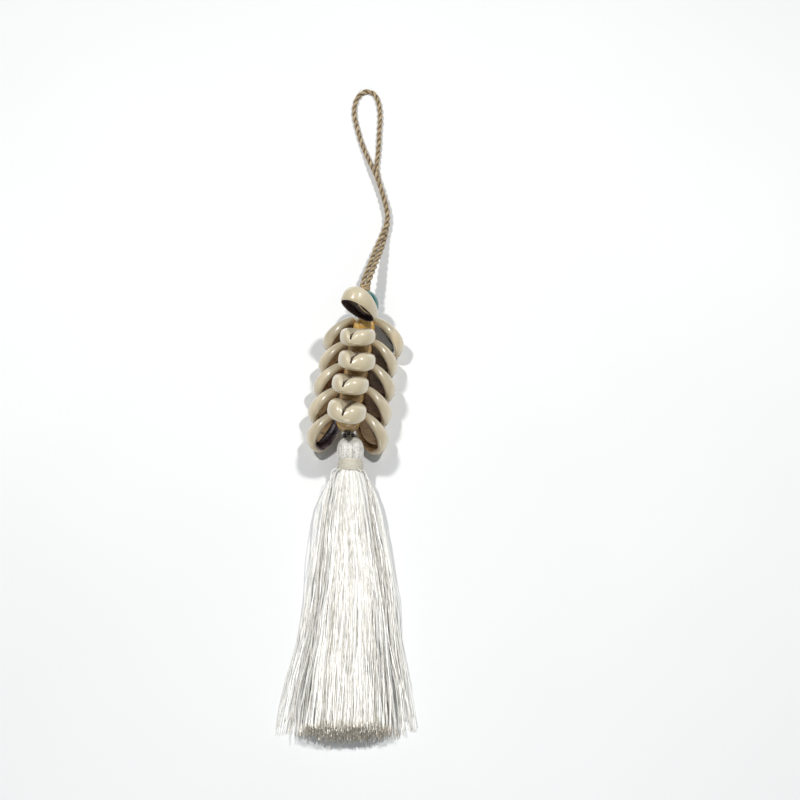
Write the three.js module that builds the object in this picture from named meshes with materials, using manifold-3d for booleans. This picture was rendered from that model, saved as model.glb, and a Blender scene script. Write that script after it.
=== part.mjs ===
// Cowrie shell tassel, lying on a flat surface: a jute hanging loop, a teal bead, five tiers of
// three sliced cowrie shells around a string of wooden beads, and a white thread tassel.
// Millimetres, +Z up, +Y along the string towards the hanging loop, the surface at z = 0.
import * as THREE from 'three';
import { mergeVertices } from 'three/addons/utils/BufferGeometryUtils.js';
import Module from 'manifold-3d';

const wasm = await Module();
wasm.setup();

// Driving dimensions
const shellLength = 20.5;
const shellWidth = 15.6;
const shellTop = 5.0; // toothed face above the line that the shell hangs from
const shellSlant = 4.2; // the sawn face drops this far from the string to the outer end
const shellSawn = 1.2; // sawn face at the string, above the same line
const woodBead = 10.1;
const amberBead = 9.3;
const tealBead = 13;
const seedBead = 1.65;
const seedBore = 0.6;
const beadBore = 2.2;
const coreThread = 0.9;
const cordDiameter = 2.0;
const cordLay = 5;
const stringHeight = 13.9;
const headDiameter = 11;
const neckDiameter = 9;
const wrapDiameter = 10.9;
const pieceGap = 0.3;

// Finishes
const shellCream = { color: 0xd9cbb0, roughness: 0.22, metalness: 0 };
const shellTan = { color: 0xbfae8c, roughness: 0.22, metalness: 0 };
const varnishedWood = { color: 0xa5793f, roughness: 0.4, metalness: 0 };
const amberWood = { color: 0xc8964a, roughness: 0.3, metalness: 0 };
const tealGlaze = { color: 0x3c8c82, roughness: 0.25, metalness: 0 };
const darkGlass = { color: 0x1a1617, roughness: 0.12, metalness: 0 };
const juteFibre = { color: 0xaa8c64, roughness: 0.9, metalness: 0 };
const whiteThread = { color: 0xefece6, roughness: 0.55, metalness: 0 };
const creamThread = { color: 0xe8dfcf, roughness: 0.6, metalness: 0 };

const tassel = new THREE.Group();
const radians = THREE.MathUtils.degToRad;
const lerp = THREE.MathUtils.lerp;

function addPiece(name, geometry, finish) {
  const mesh = new THREE.Mesh(geometry, new THREE.MeshStandardMaterial(finish));
  mesh.name = name;
  tassel.add(mesh);
  return mesh;
}

// Closed meshes to solids and back
function solidFrom(geometry) {
  const bare = geometry.clone();
  bare.deleteAttribute('normal');
  bare.deleteAttribute('uv');
  const merged = mergeVertices(bare, 1e-4);
  const vertProperties = new Float32Array(merged.attributes.position.array);
  const triVerts = new Uint32Array(merged.index.array);
  return new wasm.Manifold(new wasm.Mesh({ numProp: 3, vertProperties, triVerts }));
}

function geometryFrom(solid) {
  const { vertProperties, triVerts } = solid.getMesh();
  const geometry = new THREE.BufferGeometry();
  geometry.setAttribute('position', new THREE.BufferAttribute(vertProperties, 3));
  geometry.setIndex(new THREE.BufferAttribute(triVerts, 1));
  return geometry;
}

// A closed skin over rings of equal count, with a point at its start and its end.
// Each ring turns anticlockwise about the direction in which the rings advance.
function skin(start, rings, end) {
  const points = [start, ...rings.flat(), end];
  const count = rings[0].length;
  const last = points.length - 1;
  const index = [];
  for (let i = 0; i < count; i += 1) {
    const next = (i + 1) % count;
    index.push(0, 1 + next, 1 + i);
    for (let ring = 1; ring < rings.length; ring += 1) {
      const low = 1 + (ring - 1) * count;
      const high = low + count;
      index.push(low + i, low + next, high + next, low + i, high + next, high + i);
    }
    index.push(last, last - count + i, last - count + next);
  }
  const geometry = new THREE.BufferGeometry();
  geometry.setAttribute('position', new THREE.Float32BufferAttribute(points.flatMap((p) => p.toArray()), 3));
  geometry.setIndex(index);
  return geometry;
}

// The surface that the tassel lies on, as a block that trims what would reach below it
const underSurface = solidFrom(new THREE.BoxGeometry(400, 400, 60).translate(0, 0, -30));

// One sliced cowrie in its own axes: x from the string to the outer end, z towards the toothed face.
// The back is sawn off, so the shell is a cup with thick walls, open on the sawn side.
const shellSides = 16;
const shellRings = [
  { scale: 0.5, level: 0.74 },
  { scale: 0.8, level: 0.42 },
  { scale: 0.87, level: 0 },
  { scale: 0.96, level: 0 },
  { scale: 1.0, level: 0.36 },
  { scale: 0.93, level: 0.74 },
  { scale: 0.68, level: 1.0 },
];
const ceilingLevel = 0.72;
const mouthLevel = 0.86; // the face sinks between the lips
const endNotch = { depth: 0.16, breadth: 1.9 };

function shellPoint(angle, scale, level) {
  const half = shellLength / 2;
  const along = half + half * scale * Math.cos(angle);
  const breadth = 1 + 0.1 * Math.cos(angle); // broader towards the outer end
  const side = Math.sign(Math.sin(angle)) * Math.abs(Math.sin(angle)) ** 0.9;
  const across = (shellWidth / 2) * scale * breadth * side;
  const sawn = shellSawn - (shellSlant * along) / shellLength;
  const bow = 0.6 * (2 * along / shellLength - 1) ** 2; // the toothed face is bowed lengthwise
  const notched = level > 0.5 ? endNotch.depth * Math.exp(-((across / endNotch.breadth) ** 2)) : 0;
  return new THREE.Vector3(along, across, lerp(sawn, shellTop - bow, level - notched));
}

function shellCup() {
  const rings = shellRings.map(({ scale, level }) =>
    Array.from({ length: shellSides }, (_, i) => shellPoint((2 * Math.PI * i) / shellSides, scale, level)),
  );
  return solidFrom(skin(shellPoint(0, 0, ceilingLevel), rings, shellPoint(0, 0, mouthLevel)));
}

// The narrow mouth between the two lips, bent to one side, and its notch over the outer end
const mouthWidth = 0.8;
const mouthDepth = 2.9;
const mouth = [
  { along: 3.5, across: 0.9 },
  { along: 8, across: 0.2 },
  { along: 13, across: -0.2 },
  { along: 17.5, across: 0.3 },
  { along: 22, across: 1.3 },
];

function mouthCutter() {
  const sides = mouth.map(({ along, across }) => new THREE.Vector2(along, across + mouthWidth / 2));
  const back = mouth.map(({ along, across }) => new THREE.Vector2(along, across - mouthWidth / 2));
  const outline = new THREE.Shape([...sides, ...back.reverse()]);
  const slab = new THREE.ExtrudeGeometry(outline, { depth: 2 * mouthDepth, bevelEnabled: false });
  return solidFrom(slab.translate(0, 0, shellTop - mouthDepth));
}

const plainShell = shellCup().subtract(mouthCutter());

// Where each tier meets the string
const tiers = [
  new THREE.Vector3(5.2, 84.3, stringHeight),
  new THREE.Vector3(4.4, 74.0, stringHeight),
  new THREE.Vector3(2.8, 62.8, stringHeight),
  new THREE.Vector3(1.3, 51.3, stringHeight),
  new THREE.Vector3(-0.4, 39.8, stringHeight),
];

// around: degrees about the string, 90 on top; droop: degrees from square to the string towards
// the tassel; roll: degrees about the shell's own length; reach: from the string to the inner end;
// depth: how much deeper than the plain shell, 1 where it isn't given
const shells = [
  { tier: 0, side: 'left', around: 212, droop: 31, roll: -14, reach: 2.8, size: 0.94 },
  { tier: 0, side: 'right', around: 322, droop: 35, roll: 10, reach: 2.4, size: 0.98 },
  { tier: 1, side: 'front', around: 97, droop: 32, roll: -5, reach: 2.6, size: 0.96 },
  { tier: 1, side: 'left', around: 212, droop: 33, roll: -8, reach: 4.2, size: 0.94 },
  { tier: 1, side: 'right', around: 318, droop: 38, roll: 15, reach: 2.2, size: 0.93 },
  { tier: 2, side: 'front', around: 91, droop: 33, roll: -8, reach: 2.6, size: 1.0 },
  { tier: 2, side: 'left', around: 211, droop: 33, roll: -9, reach: 3.7, size: 0.97 },
  { tier: 2, side: 'right', around: 320, droop: 38, roll: 15, reach: 2.4, size: 0.95 },
  { tier: 3, side: 'front', around: 96, droop: 32, roll: -12, reach: 2.6, size: 0.98 },
  { tier: 3, side: 'left', around: 211, droop: 33, roll: -8, reach: 4.05, size: 0.98 },
  { tier: 3, side: 'right', around: 321, droop: 39, roll: 15, reach: 2.4, size: 0.95 },
  { tier: 4, side: 'front', around: 94, droop: 35, roll: -15, reach: 2.8, size: 1.03 },
  { tier: 4, side: 'left', around: 213, droop: 36, roll: -8, reach: 4.2, size: 0.93 },
  { tier: 4, side: 'right', around: 319, droop: 40, roll: 13, reach: 3.0, size: 0.97 },
];
// The top tier's third shell, a deeper one, has flipped up and stands leaning over the teal bead
const flippedShell = {
  tier: 0, side: 'front', around: 123, droop: -24, roll: -24, reach: 0, size: 0.85, depth: 1.5,
};
const flippedFoot = new THREE.Vector3(7.8, 77.0, 20.4);

function shellPlacement({ around, droop, roll, reach, size, depth = 1 }, foot) {
  const turn = radians(around);
  const fall = radians(droop);
  const outward = new THREE.Vector3(Math.cos(turn), 0, Math.sin(turn));
  const stringward = new THREE.Vector3(0, 1, 0);
  const along = outward.clone().multiplyScalar(Math.cos(fall)).addScaledVector(stringward, -Math.sin(fall));
  const face = outward.clone().multiplyScalar(Math.sin(fall)).addScaledVector(stringward, Math.cos(fall));
  face.applyAxisAngle(along, radians(roll));
  const across = new THREE.Vector3().crossVectors(face, along);
  return new THREE.Matrix4()
    .makeBasis(along, across, face)
    .scale(new THREE.Vector3(size, size, size * depth))
    .setPosition(foot.clone().addScaledVector(along, reach));
}

function addShell(shell, foot) {
  const placed = plainShell.transform(shellPlacement(shell, foot).elements);
  const finish = shell.side === 'front' ? shellCream : shellTan;
  addPiece(`shell_${shell.tier}_${shell.side}`, geometryFrom(placed.subtract(underSurface)), finish);
}
addShell(flippedShell, flippedFoot);
for (const shell of shells) addShell(shell, tiers[shell.tier]);

// A bored bead, its hole along y
const beadSteps = 7;
const beadSides = 14;
const seedSteps = 4;
const seedSides = 7;
function beadGeometry(diameter, bore, steps, sides) {
  const radius = diameter / 2;
  const lip = Math.asin(bore / diameter);
  const profile = [];
  for (let i = 0; i <= steps; i += 1) {
    const angle = lerp(lip, Math.PI - lip, i / steps);
    profile.push(new THREE.Vector2(radius * Math.sin(angle), -radius * Math.cos(angle)));
  }
  profile.push(profile[0].clone());
  return new THREE.LatheGeometry(profile, sides);
}

const beads = [
  { name: 'teal_bead', diameter: tealBead, x: 5.2, y: 91.5, z: stringHeight - 0.9, finish: tealGlaze },
  { name: 'amber_bead', diameter: amberBead, x: 5.2, y: 79.4, z: stringHeight, finish: amberWood },
  { name: 'wood_bead_1', diameter: woodBead, x: 3.6, y: 68.5, z: stringHeight, finish: varnishedWood },
  { name: 'wood_bead_2', diameter: woodBead, x: 2.0, y: 57.1, z: stringHeight, finish: varnishedWood },
  { name: 'wood_bead_3', diameter: woodBead, x: 0.4, y: 45.7, z: stringHeight, finish: varnishedWood },
  { name: 'wood_bead_4', diameter: woodBead, x: -0.8, y: 34.3, z: stringHeight - 0.2, finish: varnishedWood },
];
const knotPlace = new THREE.Vector3(5.3, 99.4, 12.7);
const threadEnd = new THREE.Vector3(-0.8, 26.9, 12.9);

// The thread runs through the beads, from the knot to the tassel's head, and each bore follows it
const corePath = new THREE.CatmullRomCurve3([
  knotPlace,
  ...beads.map(({ x, y, z }) => new THREE.Vector3(x, y, z)),
  threadEnd,
]);
const lengthwise = new THREE.Vector3(0, -1, 0);
beads.forEach(({ name, diameter, x, y, z, finish }, i) => {
  const bead = addPiece(name, beadGeometry(diameter, beadBore, beadSteps, beadSides), finish);
  bead.quaternion.setFromUnitVectors(lengthwise, corePath.getTangent((i + 1) / (beads.length + 1)));
  bead.position.set(x, y, z);
});

// Seed beads in a ring between the last wooden bead and the tassel's head
const seedRing = { x: -0.5, y: 27.8, z: 12.9, radius: 1.95, count: 6 };
for (let i = 0; i < seedRing.count; i += 1) {
  const angle = (2 * Math.PI * (i + 0.5)) / seedRing.count;
  const shape = beadGeometry(seedBead, seedBore, seedSteps, seedSides);
  const bead = addPiece(`seed_bead_${i + 1}`, shape, darkGlass);
  bead.position.set(
    seedRing.x + seedRing.radius * Math.cos(angle),
    seedRing.y,
    seedRing.z + seedRing.radius * Math.sin(angle),
  );
}

const roundSection = (radius, sides) =>
  new THREE.Shape(
    Array.from({ length: sides }, (_, i) => {
      const angle = (2 * Math.PI * i) / sides;
      return new THREE.Vector2(radius * Math.cos(angle), radius * Math.sin(angle));
    }),
  );
addPiece(
  'core_thread',
  new THREE.ExtrudeGeometry(roundSection(coreThread / 2, 6), { steps: 16, extrudePath: corePath }),
  creamThread,
);

// Hanging loop of two-ply jute: out of the knot, down to the surface, round and back, crossing
// over itself in a low hump where its two legs lie one on the other
const loopRoute = [
  [4.3, 101.8, 12.40],
  [4.8, 104.4, 12.00],
  [6.5, 111.1, 10.40],
  [8.4, 118.8, 8.00],
  [10.6, 127.1, 5.60],
  [12.5, 133.5, 4.10],
  [14.4, 139.8, 3.30],
  [15.0, 145.7, 3.20],
  [14.0, 152.1, 3.20],
  [12.4, 158.6, 3.20],
  [10.7, 164.8, 3.20],
  [8.8, 170.5, 3.20],
  [6.4, 177.0, 2.30],
  [4.2, 183.5, 1.40],
  [2.0, 190.8, 1.05],
  [0.3, 197.9, 1.05],
  [-1.0, 205.1, 1.05],
  [-0.7, 212.1, 1.05],
  [1.4, 217.3, 1.05],
  [4.8, 219.4, 1.05],
  [8.2, 217.9, 1.05],
  [10.4, 212.7, 1.05],
  [11.3, 204.2, 1.05],
  [10.9, 193.8, 1.05],
  [10.6, 183.8, 1.05],
  [9.9, 173.9, 1.05],
  [10.8, 167.0, 1.05],
  [12.4, 160.1, 1.05],
  [14.0, 153.6, 1.05],
  [15.0, 147.2, 1.05],
  [14.8, 141.0, 1.15],
  [14.0, 134.7, 2.00],
  [12.8, 128.0, 3.90],
  [10.7, 119.5, 6.90],
  [8.8, 111.5, 9.90],
  [7.1, 104.4, 12.00],
  [6.6, 101.8, 12.40],
];
const loopPath = new THREE.CatmullRomCurve3(loopRoute.map(([x, y, z]) => new THREE.Vector3(x, y, z)));

// Two plies side by side make a waisted section, which turns once for each lay
function twistedCord(path, stepLength, sides) {
  const steps = Math.round(path.getLength() / stepLength);
  const frames = path.computeFrenetFrames(steps, false);
  const rings = Array.from({ length: steps + 1 }, (_, step) => {
    const centre = path.getPointAt(step / steps);
    const turn = (2 * Math.PI * step * stepLength) / cordLay;
    return Array.from({ length: sides }, (_, i) => {
      const angle = (2 * Math.PI * i) / sides;
      const radius = (cordDiameter / 2) * (0.86 + 0.14 * Math.cos(2 * angle));
      return centre
        .clone()
        .addScaledVector(frames.normals[step], radius * Math.cos(angle + turn))
        .addScaledVector(frames.binormals[step], radius * Math.sin(angle + turn));
    });
  });
  return skin(path.getPointAt(0), rings, path.getPointAt(1));
}
const cordStep = 1.0;
const cordSides = 6;
addPiece('cord_loop', twistedCord(loopPath, cordStep, cordSides), juteFibre);

// A strand of the jute bound round the two legs where they enter the teal bead
const knotProfile = [
  { radius: 1.0, at: -1.1 },
  { radius: 1.9, at: -1.1 },
  { radius: 2.0, at: -0.1 },
  { radius: 2.7, at: 0.3 },
  { radius: 2.8, at: 1.2 },
  { radius: 2.3, at: 1.9 },
  { radius: 1.0, at: 1.9 },
  { radius: 1.0, at: -1.1 },
];
const knot = addPiece(
  'cord_knot',
  new THREE.LatheGeometry(knotProfile.map(({ radius, at }) => new THREE.Vector2(radius, at)), 14),
  juteFibre,
);
knot.position.copy(knotPlace);

// Tassel head: a dome of folded thread, drawn in at the neck, its axis falling towards the skirt
const headTop = new THREE.Vector3(0.2, 26.4, 12.2);
const headFall = radians(14);
const headProfile = [
  { radius: 0, at: 0 },
  { radius: 2.6, at: -0.5 },
  { radius: 4.5, at: -2.0 },
  { radius: headDiameter / 2, at: -5.0 },
  { radius: headDiameter / 2 - 0.3, at: -7.6 },
  { radius: neckDiameter / 2, at: -8.9 },
  { radius: neckDiameter / 2, at: -13.6 },
  { radius: 3.5, at: -16 },
  { radius: 0, at: -16.5 },
];
const alongHead = new THREE.Matrix4().makeRotationX(headFall).setPosition(headTop);

function latheAlongHead(profile, sides) {
  const points = profile.map(({ radius, at }) => new THREE.Vector2(radius, at)).reverse();
  return new THREE.LatheGeometry(points, sides).applyMatrix4(alongHead);
}

// Skirt: its edges and its height at stations along the surface, from the neck to the cut ends.
// flat: how far its section has settled from an oval to a dome with a flat underside
const skirt = [
  { y: 11.9, left: -5.6, right: 5.4, low: 3.4, high: 13.0, flat: 0 },
  { y: 10.0, left: -8.0, right: 7.6, low: 1.6, high: 12.8, flat: 0.4 },
  { y: 5.5, left: -10.6, right: 10.3, low: 0, high: 11.2, flat: 1 },
  { y: 0.5, left: -11.6, right: 11.2, low: 0, high: 9.4, flat: 1 },
  { y: -19.3, left: -13.8, right: 15.0, low: 0, high: 7.2 },
  { y: -40.2, left: -15.4, right: 17.9, low: 0, high: 6.0 },
  { y: -59.3, left: -17.6, right: 19.2, low: 0, high: 5.2 },
  { y: -73.1, left: -20.6, right: 21.5, low: 0, high: 4.7 },
  { y: -100, left: -24.3, right: 24.3, low: 0, high: 4.2 },
];

function skirtAt(y) {
  const after = Math.max(1, skirt.findIndex((station) => station.y <= y));
  const near = skirt[after - 1];
  const far = skirt[after];
  const t = (near.y - y) / (near.y - far.y);
  return {
    left: lerp(near.left, far.left, t),
    right: lerp(near.right, far.right, t),
    low: lerp(near.low, far.low, t),
    high: lerp(near.high, far.high, t),
  };
}

// The roots of the threads, fused: from inside the neck to where the threads part
const rootEnd = 0.5;
const rootSides = 20;
function rootRing({ y, left, right, low, high, flat }) {
  const middle = (left + right) / 2;
  return Array.from({ length: rootSides }, (_, i) => {
    const angle = (2 * Math.PI * i) / rootSides;
    const x = middle + ((right - left) / 2) * Math.cos(angle);
    const level = lerp(0.5 + 0.5 * Math.sin(angle), Math.max(0, Math.sin(angle)), flat);
    return new THREE.Vector3(x, y, lerp(low, high, level));
  });
}
const rootStations = skirt.filter(({ y }) => y >= rootEnd);
const roots = skin(
  new THREE.Vector3(0, rootStations[0].y + 1, 7.6),
  rootStations.map(rootRing),
  new THREE.Vector3(0, rootEnd, 4),
);

// Threads in level rows, the lowest flat on the surface, fewer and shorter towards the top
const threadRows = [
  { level: 0.0, count: 34, spread: 1.0, end: -97.6 },
  { level: 0.25, count: 31, spread: 0.95, end: -95.5 },
  { level: 0.5, count: 27, spread: 0.86, end: -94 },
  { level: 0.75, count: 20, spread: 0.62, end: -92 },
  { level: 1.0, count: 11, spread: 0.3, end: -90 },
];
const threadSteps = [3, -19, -42, -70];
const threadStart = 0.26;
const threadFinish = 0.45;

let seed = 7;
function scatter(amount) {
  seed = (seed * 16807) % 2147483647;
  return amount * ((2 * seed) / 2147483647 - 1);
}

function thread({ level, spread, end }, place) {
  const finish = end + scatter(1.8);
  const stations = [...threadSteps, finish];
  const rings = stations.map((y, i) => {
    const { left, right, high } = skirtAt(y);
    const radius = lerp(threadStart, threadFinish, i / threadSteps.length);
    const x = lerp(left, right, 0.5 + 0.5 * spread * place * 0.94);
    const z = radius / 2 + level * (high - 2 * radius) * 0.93;
    return [90, 210, 330].map((degrees) => {
      const angle = radians(degrees);
      return new THREE.Vector3(x + radius * Math.cos(angle), y, z + radius * Math.sin(angle));
    });
  });
  const middle = (ring) => ring.reduce((sum, p) => sum.add(p), new THREE.Vector3()).divideScalar(3);
  return solidFrom(skin(middle(rings[0]), rings, middle(rings.at(-1))));
}

const threads = threadRows.flatMap((row) =>
  Array.from({ length: row.count }, (_, i) => thread(row, (2 * i) / (row.count - 1) - 1)),
);
const headSides = 20;
const head = solidFrom(latheAlongHead(headProfile, headSides));
const tasselSolid = wasm.Manifold.union([head, solidFrom(roots), ...threads]);
addPiece('tassel', geometryFrom(tasselSolid), whiteThread);

// Neck binding: thread wound round the neck, each pair of turns a ridge
const wrapInner = neckDiameter / 2 + 1.4 * pieceGap;
const wrapTurns = 4;
const wrapStart = -9.2;
const wrapPitch = 1.05;
const wrapProfile = [{ radius: wrapInner, at: wrapStart }];
for (let i = 0; i < wrapTurns; i += 1) {
  wrapProfile.push({ radius: wrapDiameter / 2, at: wrapStart - wrapPitch * (i + 0.3) });
  wrapProfile.push({ radius: wrapDiameter / 2, at: wrapStart - wrapPitch * (i + 0.7) });
  wrapProfile.push({ radius: wrapDiameter / 2 - 0.2, at: wrapStart - wrapPitch * (i + 1) });
}
wrapProfile.push({ radius: wrapInner, at: wrapStart - wrapPitch * wrapTurns });
wrapProfile.push(wrapProfile[0]);
addPiece('neck_wrap', latheAlongHead(wrapProfile, 16), creamThread);

export default tassel;
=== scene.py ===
# Cowrie shell tassel, lying on a pale floor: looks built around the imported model
import math
import random
import bpy
import numpy as np
from mathutils import Matrix, Vector


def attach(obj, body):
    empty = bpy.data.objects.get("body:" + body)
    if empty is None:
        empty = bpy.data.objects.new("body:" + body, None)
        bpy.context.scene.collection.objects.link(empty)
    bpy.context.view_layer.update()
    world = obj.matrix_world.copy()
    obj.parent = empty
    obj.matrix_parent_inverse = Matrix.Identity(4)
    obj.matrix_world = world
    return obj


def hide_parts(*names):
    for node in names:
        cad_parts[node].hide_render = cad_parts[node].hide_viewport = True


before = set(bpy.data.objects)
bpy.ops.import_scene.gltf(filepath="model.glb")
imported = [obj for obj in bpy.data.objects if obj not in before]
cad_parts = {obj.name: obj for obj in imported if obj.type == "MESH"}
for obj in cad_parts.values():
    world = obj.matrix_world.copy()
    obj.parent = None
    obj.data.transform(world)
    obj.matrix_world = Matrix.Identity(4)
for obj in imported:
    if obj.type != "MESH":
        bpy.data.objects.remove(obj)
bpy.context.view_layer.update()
mm = 0.001
toMetres = Matrix.Diagonal((mm, mm, mm, 1))
dice = random.Random(11)


# small helpers

def clearSelection():
    if bpy.context.object and bpy.context.object.mode != "OBJECT":
        bpy.ops.object.mode_set(mode="OBJECT")
    bpy.ops.object.select_all(action="DESELECT")


def pickOnly(obj):
    clearSelection()
    obj.select_set(True)
    bpy.context.view_layer.objects.active = obj


def smoothShade(obj, angle=40):
    pickOnly(obj)
    bpy.ops.object.shade_smooth_by_angle(angle=math.radians(angle))


def dress(obj, name, material, slot, *nodes):
    obj.name = name
    obj.data.materials.clear()
    obj.data.materials.append(material)
    if nodes:
        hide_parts(*nodes)
    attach(obj, "root")
    return obj


def meshFrom(name, points, faces):
    mesh = bpy.data.meshes.new(name)
    mesh.from_pydata([tuple(p) for p in points], [], faces)
    mesh.validate()
    obj = bpy.data.objects.new(name, mesh)
    bpy.context.scene.collection.objects.link(obj)
    return obj


def pointValues(obj, name, values):
    attribute = obj.data.attributes.new(name, "FLOAT", "POINT")
    attribute.data.foreach_set("value", np.asarray(values, np.float32))


def bakePlace(obj, matrix):
    obj.data.transform(toMetres @ matrix)
    obj.matrix_world = Matrix.Identity(4)


def faceOutward(obj):
    pickOnly(obj)
    bpy.ops.object.mode_set(mode="EDIT")
    bpy.ops.mesh.select_all(action="SELECT")
    bpy.ops.mesh.normals_make_consistent(inside=False)
    bpy.ops.object.mode_set(mode="OBJECT")


# node helpers

class Finish:
    def __init__(self, name, **shader):
        self.material = bpy.data.materials.new(name)
        self.material.use_nodes = True
        self.tree = self.material.node_tree
        self.shader = self.tree.nodes["Principled BSDF"]
        for socket, value in shader.items():
            self.shader.inputs[socket.replace("_", " ")].default_value = value

    def node(self, kind, **settings):
        made = self.tree.nodes.new(kind)
        for key, value in settings.items():
            setattr(made, key, value)
        return made

    def join(self, source, target):
        self.tree.links.new(source, target)

    def objectPlace(self, scale=(1, 1, 1)):
        place = self.node("ShaderNodeTexCoord")
        mapping = self.node("ShaderNodeMapping")
        mapping.inputs["Scale"].default_value = scale
        self.join(place.outputs["Object"], mapping.inputs["Vector"])
        return mapping.outputs["Vector"]

    def uvPlace(self, scale=(1, 1, 1), turn=0):
        place = self.node("ShaderNodeUVMap")
        mapping = self.node("ShaderNodeMapping")
        mapping.inputs["Scale"].default_value = scale
        mapping.inputs["Rotation"].default_value = (0, 0, turn)
        self.join(place.outputs["UV"], mapping.inputs["Vector"])
        return mapping.outputs["Vector"]

    def value(self, name):
        return self.node("ShaderNodeAttribute", attribute_name=name).outputs["Fac"]

    def noise(self, place, scale, detail=3, roughness=0.55):
        made = self.node("ShaderNodeTexNoise")
        made.inputs["Scale"].default_value = scale
        made.inputs["Detail"].default_value = detail
        made.inputs["Roughness"].default_value = roughness
        self.join(place, made.inputs["Vector"])
        return made.outputs["Fac"]

    def ramp(self, source, stops):
        made = self.node("ShaderNodeValToRGB")
        elements = made.color_ramp.elements
        while len(elements) < len(stops):
            elements.new(0.5)
        for element, (position, color) in zip(elements, stops):
            element.position = position
            element.color = (*color, 1)
        self.join(source, made.inputs["Fac"])
        return made.outputs["Color"]

    def mix(self, amount, first, second, kind="MIX"):
        made = self.node("ShaderNodeMix", data_type="RGBA", blend_type=kind)
        for socket, source in ((made.inputs[0], amount), (made.inputs[6], first), (made.inputs[7], second)):
            if isinstance(source, bpy.types.NodeSocket):
                self.join(source, socket)
            elif isinstance(source, tuple):
                socket.default_value = (*source, 1)
            else:
                socket.default_value = source
        return made.outputs[2]

    def color(self, source):
        self.join(source, self.shader.inputs["Base Color"])

    def bump(self, height, strength, distance):
        made = self.node("ShaderNodeBump")
        made.inputs["Strength"].default_value = strength
        made.inputs["Distance"].default_value = distance
        self.join(height, made.inputs["Height"])
        self.join(made.outputs["Normal"], self.shader.inputs["Normal"])


def fromSrgb(red, green, blue):
    def linear(value):
        value /= 255
        return value / 12.92 if value <= 0.04045 else ((value + 0.055) / 1.055) ** 2.4
    return (linear(red), linear(green), linear(blue))


# camera: from above the skirt's end, looking down at 62 degrees
view = {"eye": (20.7, -249.9, 566.8), "aim": (20.7, 51.5, 0), "angle": 30}
clearSelection()
eye, aim = Vector(view["eye"]) * mm, Vector(view["aim"]) * mm
bpy.ops.object.camera_add(location=eye, rotation=(aim - eye).to_track_quat("-Z", "Y").to_euler())
camera = bpy.context.object
camera.data.angle = math.radians(view["angle"])
camera.data.clip_start, camera.data.clip_end = 0.01, 10
bpy.context.scene.camera = camera


# lines and tubes

def splineThrough(points, step):
    points = np.asarray(points, float)
    ends = np.vstack([2 * points[0] - points[1], points, 2 * points[-1] - points[-2]])
    line = []
    for i in range(1, len(ends) - 2):
        a, b, c, d = ends[i - 1:i + 3]
        gaps = [max(np.linalg.norm(q - p) ** 0.5, 1e-6) for p, q in ((a, b), (b, c), (c, d))]
        first = ((b - a) / gaps[0] - (c - a) / (gaps[0] + gaps[1]) + (c - b) / gaps[1]) * gaps[1]
        second = ((c - b) / gaps[1] - (d - b) / (gaps[1] + gaps[2]) + (d - c) / gaps[2]) * gaps[1]
        t = np.linspace(0, 1, 24, endpoint=False)[:, None]
        line.append(
            (2 * t ** 3 - 3 * t ** 2 + 1) * b + (t ** 3 - 2 * t ** 2 + t) * first
            + (3 * t ** 2 - 2 * t ** 3) * c + (t ** 3 - t ** 2) * second
        )
    line = np.vstack(line + [points[-1:]])
    along = np.concatenate([[0], np.cumsum(np.linalg.norm(np.diff(line, axis=0), axis=1))])
    at = np.linspace(0, along[-1], max(2, round(along[-1] / step) + 1))
    return np.stack([np.interp(at, along, line[:, k]) for k in range(3)], axis=1), at


def carriedFrames(line):
    tangents = np.gradient(line, axis=0)
    tangents /= np.linalg.norm(tangents, axis=1)[:, None]
    side = np.cross(tangents[0], (0.0, 0.0, 1.0))
    if np.linalg.norm(side) < 1e-3:
        side = np.cross(tangents[0], (1.0, 0.0, 0.0))
    sides = []
    for tangent in tangents:
        side = side - tangent * (side @ tangent)
        side = side / np.linalg.norm(side)
        sides.append(side)
    sides = np.array(sides)
    return tangents, sides, np.cross(tangents, sides)


def tubeRings(line, radius, sides, flat=1.0):
    _, across, up = carriedFrames(line)
    radius = np.broadcast_to(radius, len(line))[:, None]
    angles = 2 * math.pi * np.arange(sides) / sides
    wide = (radius * np.cos(angles))[..., None]
    tall = (radius * flat * np.sin(angles))[..., None]
    return line[:, None] + wide * across[:, None] + tall * up[:, None]


def twistedPly(line, across, up, offset, turn):
    return line + offset * (np.cos(turn)[:, None] * across + np.sin(turn)[:, None] * up)


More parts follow.
